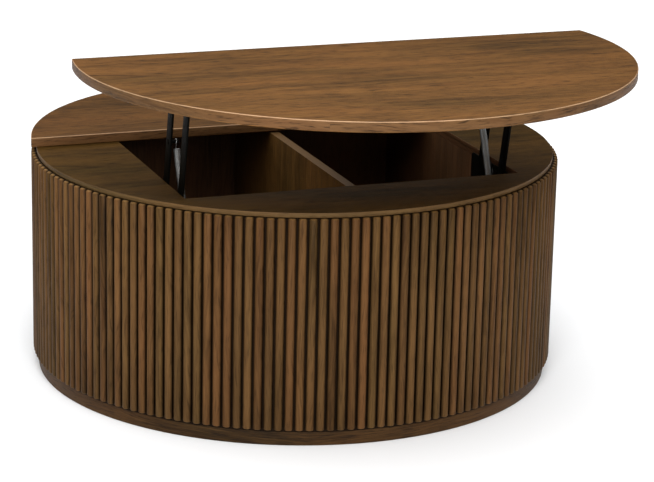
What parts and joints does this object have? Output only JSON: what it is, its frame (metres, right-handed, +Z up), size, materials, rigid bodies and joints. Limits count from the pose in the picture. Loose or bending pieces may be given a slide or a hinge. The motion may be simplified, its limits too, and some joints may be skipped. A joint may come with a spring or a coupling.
{
  "type": "lift top coffee table",
  "caption": "Round fluted drum coffee table with hidden square storage, a fixed rear top and a larger front top that lifts up and forward on sprung parallel arms.",
  "frame": {"origin": "on the floor, on the drum's vertical axis, at the middle of the base board's underside", "axes": "+Z up; +X to the right when facing the table; +Y to the back, so the lifting top comes forward towards -Y"},
  "size_m": [1, 1.3, 0.6615],
  "materials": {
    "top_wood": "satin stained open-grain veneer",
    "deck_wood": "satin dark stained veneer",
    "flute_wood": "satin stained solid wood",
    "box_wood": "matt stained veneer",
    "black_steel": "satin black powder coat",
    "zinc_steel": "zinc plated",
    "spring_steel": "bright spring wire",
    "rubber": "matt"
  },
  "bodies": {
    "base": {"base_board": "deck_wood", "inner_shell": "box_wood", "fluted_panel_front": "flute_wood", "fluted_panel_right": "flute_wood", "fluted_panel_back": "flute_wood", "fluted_panel_left": "flute_wood", "deck_panel": "deck_wood", "wall_left": "box_wood", "wall_right": "box_wood", "wall_front": "box_wood", "wall_back": "box_wood", "storage_floor": "box_wood", "divider": "box_wood", "fixed_top": "top_wood", "fixed_top_screw_1": "zinc_steel", "fixed_top_screw_2": "zinc_steel", "fixed_top_screw_3": "zinc_steel", "fixed_top_screw_4": "zinc_steel", "base_bracket_left": "black_steel", "bracket_screw_left_1": "zinc_steel", "bracket_screw_left_2": "zinc_steel", "bracket_screw_left_3": "zinc_steel", "front_base_pin_left": "zinc_steel", "rear_base_pin_left": "zinc_steel", "spring_post_left": "black_steel", "stop_stud_left": "zinc_steel", "stop_sleeve_left": "rubber", "base_bracket_right": "black_steel", "bracket_screw_right_1": "zinc_steel", "bracket_screw_right_2": "zinc_steel", "bracket_screw_right_3": "zinc_steel", "front_base_pin_right": "zinc_steel", "rear_base_pin_right": "zinc_steel", "spring_post_right": "black_steel", "stop_stud_right": "zinc_steel", "stop_sleeve_right": "rubber"},
    "lift_top": {"lift_top": "top_wood", "top_bracket_left": "black_steel", "top_screw_left_1": "zinc_steel", "top_screw_left_2": "zinc_steel", "top_screw_left_3": "zinc_steel", "front_top_pin_left": "zinc_steel", "rear_top_pin_left": "zinc_steel", "top_bracket_right": "black_steel", "top_screw_right_1": "zinc_steel", "top_screw_right_2": "zinc_steel", "top_screw_right_3": "zinc_steel", "front_top_pin_right": "zinc_steel", "rear_top_pin_right": "zinc_steel"},
    "front_arm_left": {"front_arm_left": "black_steel"},
    "rear_arm_left": {"rear_arm_left": "black_steel", "spring_stud_left": "black_steel"},
    "spring_left": {"spring_left": "spring_steel"},
    "spring_hook_left": {"spring_hook_left": "spring_steel"},
    "front_arm_right": {"front_arm_right": "black_steel"},
    "rear_arm_right": {"rear_arm_right": "black_steel", "spring_stud_right": "black_steel"},
    "spring_right": {"spring_right": "spring_steel"},
    "spring_hook_right": {"spring_hook_right": "spring_steel"}
  },
  "joints": [
    {"name": "top_lift", "type": "hinge", "parent": "base", "child": "front_arm_left", "pos_m": [-0.311, -0.256, 0.367], "axis": [-1, 0, 0], "range_deg": [0, 95.56]},
    {"name": "top_level", "type": "hinge", "parent": "front_arm_left", "child": "lift_top", "pos_m": [-0.311, -0.30791, 0.61121], "axis": [-1, 0, 0], "range_deg": [-95.58, 0.02]},
    {"name": "front_arm_right_swing", "type": "hinge", "parent": "base", "child": "front_arm_right", "pos_m": [0.311, -0.256, 0.367], "axis": [-1, 0, 0], "range_deg": [-0.02, 95.58]},
    {"name": "rear_arm_left_swing", "type": "hinge", "parent": "base", "child": "rear_arm_left", "pos_m": [-0.311, -0.164, 0.349], "axis": [-1, 0, 0], "range_deg": [-0.02, 95.58]},
    {"name": "rear_arm_right_swing", "type": "hinge", "parent": "base", "child": "rear_arm_right", "pos_m": [0.311, -0.164, 0.349], "axis": [-1, 0, 0], "range_deg": [-0.02, 95.58]},
    {"name": "spring_left_swing", "type": "hinge", "parent": "base", "child": "spring_left", "pos_m": [-0.2985, -0.262, 0.346], "axis": [-1, 0, 0], "range_deg": [-0.02, 61.97]},
    {"name": "spring_left_stretch", "type": "slide", "parent": "spring_left", "child": "spring_hook_left", "axis": [0, 0.3978, 0.9175], "range_m": [-0.0001, 0.08456], "deforming": ["spring_left", "spring_hook_left"]},
    {"name": "spring_right_swing", "type": "hinge", "parent": "base", "child": "spring_right", "pos_m": [0.2985, -0.262, 0.346], "axis": [-1, 0, 0], "range_deg": [-0.02, 61.97]},
    {"name": "spring_right_stretch", "type": "slide", "parent": "spring_right", "child": "spring_hook_right", "axis": [0, 0.3978, 0.9175], "range_m": [-0.0001, 0.08456], "deforming": ["spring_right", "spring_hook_right"]}
  ],
  "couplings": [
    {"joint": "top_level", "follows": "top_lift", "ratio": -1},
    {"joint": "front_arm_right_swing", "follows": "top_lift", "ratio": 1},
    {"joint": "rear_arm_left_swing", "follows": "top_lift", "ratio": 1},
    {"joint": "rear_arm_right_swing", "follows": "top_lift", "ratio": 1},
    {"joint": "spring_left_swing", "follows": "top_lift", "ratio": 0.64828},
    {"joint": "spring_left_stretch", "follows": "top_lift", "m_per_rad": 0.05064},
    {"joint": "spring_right_swing", "follows": "top_lift", "ratio": 0.64828},
    {"joint": "spring_right_stretch", "follows": "top_lift", "m_per_rad": 0.05064}
  ]
}
